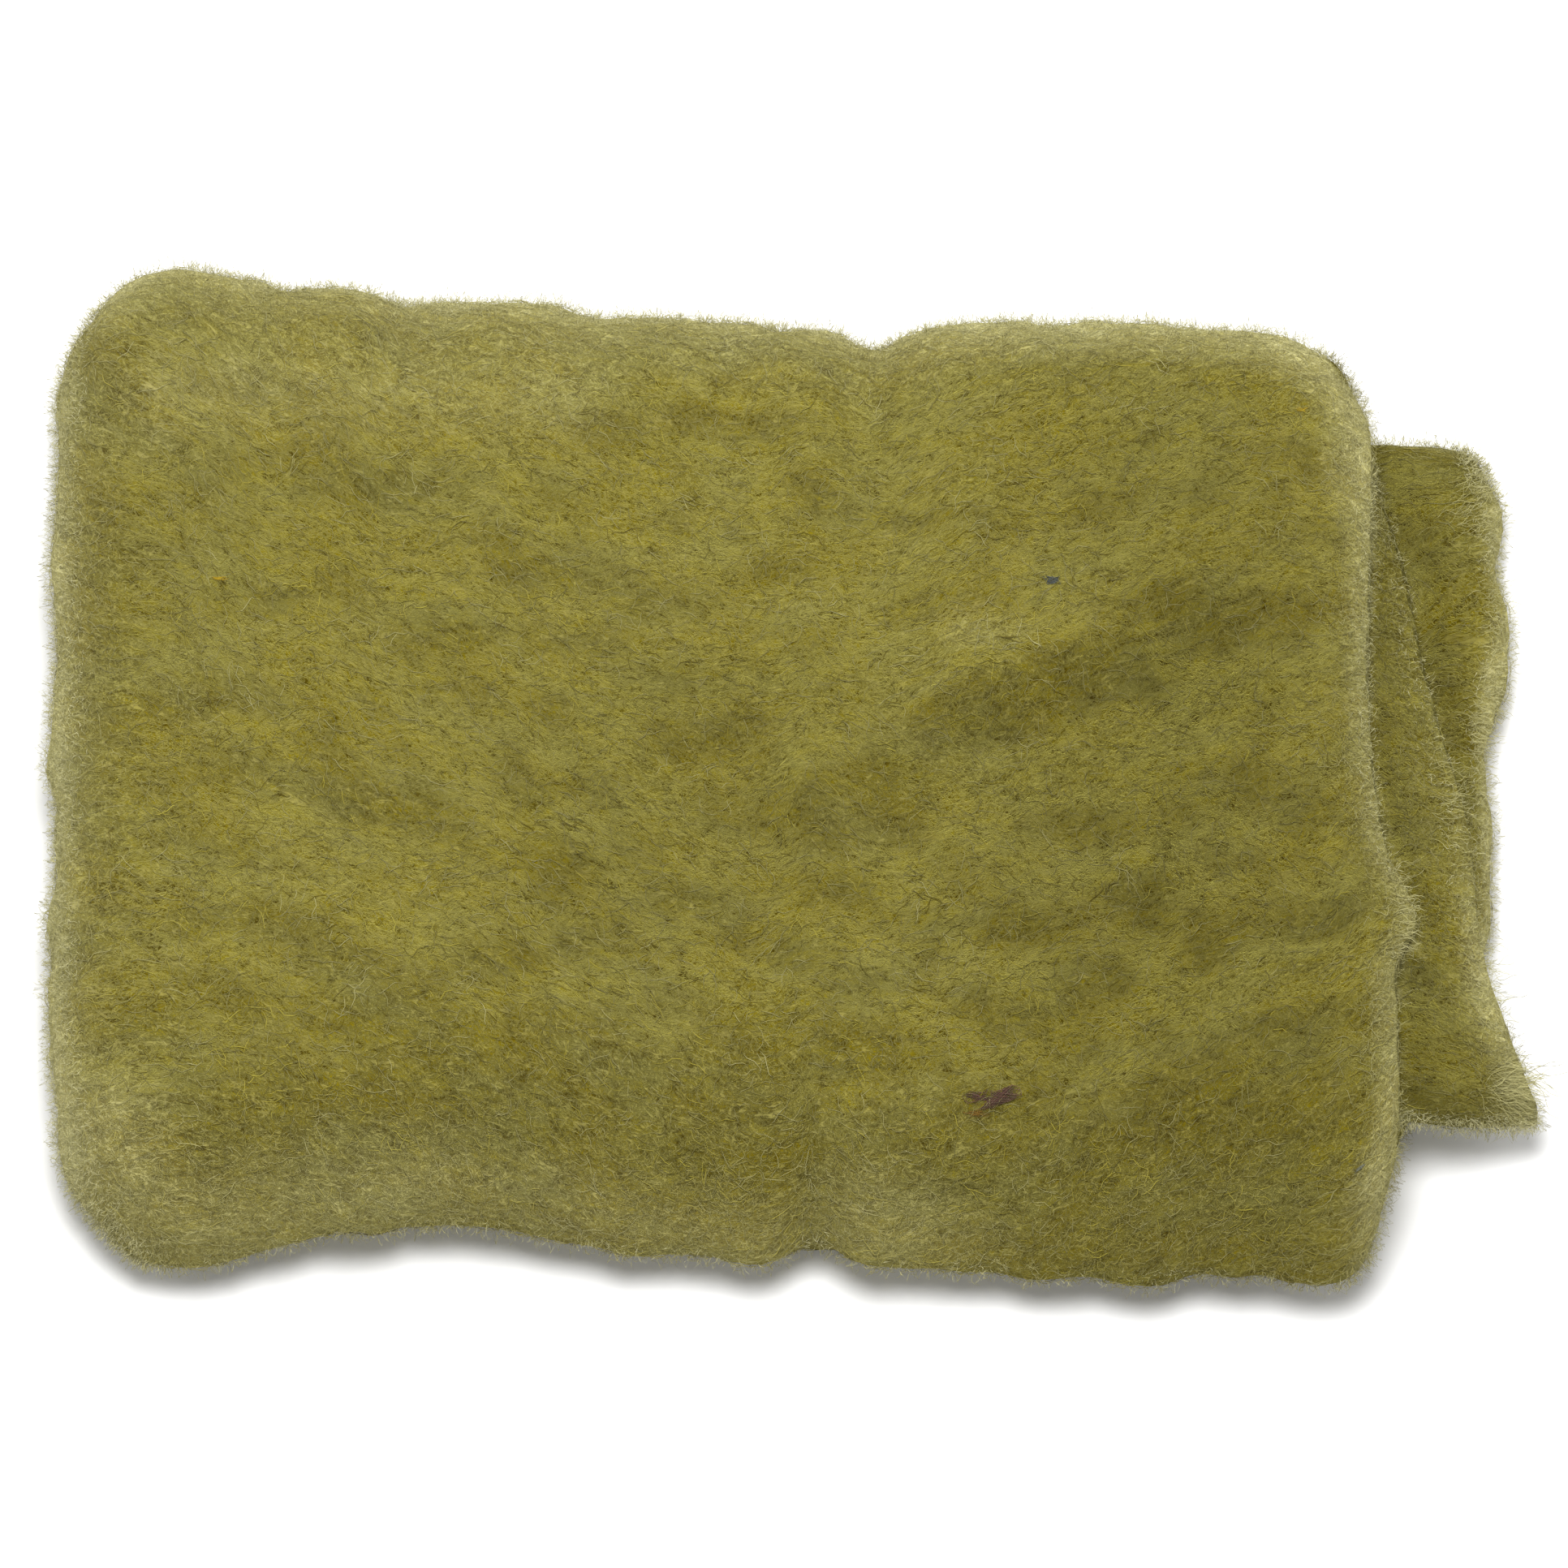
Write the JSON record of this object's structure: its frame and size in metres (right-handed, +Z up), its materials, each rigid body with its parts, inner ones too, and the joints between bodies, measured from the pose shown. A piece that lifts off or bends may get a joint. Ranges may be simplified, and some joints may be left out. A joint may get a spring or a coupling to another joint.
{
  "type": "carded wool batt",
  "caption": "Lofty batt of carded wool, folded back and forth into a soft flat bundle, with a torn tongue of fibre showing at one end.",
  "frame": {"origin": "on the table under the middle of the folded body, on the batt's flat underside", "axes": "+X along the folded batt, towards the side where the torn tongue shows; +Y to the back; +Z up"},
  "size_m": [0.2619, 0.1891, 0.055],
  "materials": {
    "carded_wool": "matt loose crimped wool, fuzzy, olive yellow-green"
  },
  "bodies": {
    "root": {"wool_batt": "carded_wool"}
  },
  "joints": []
}
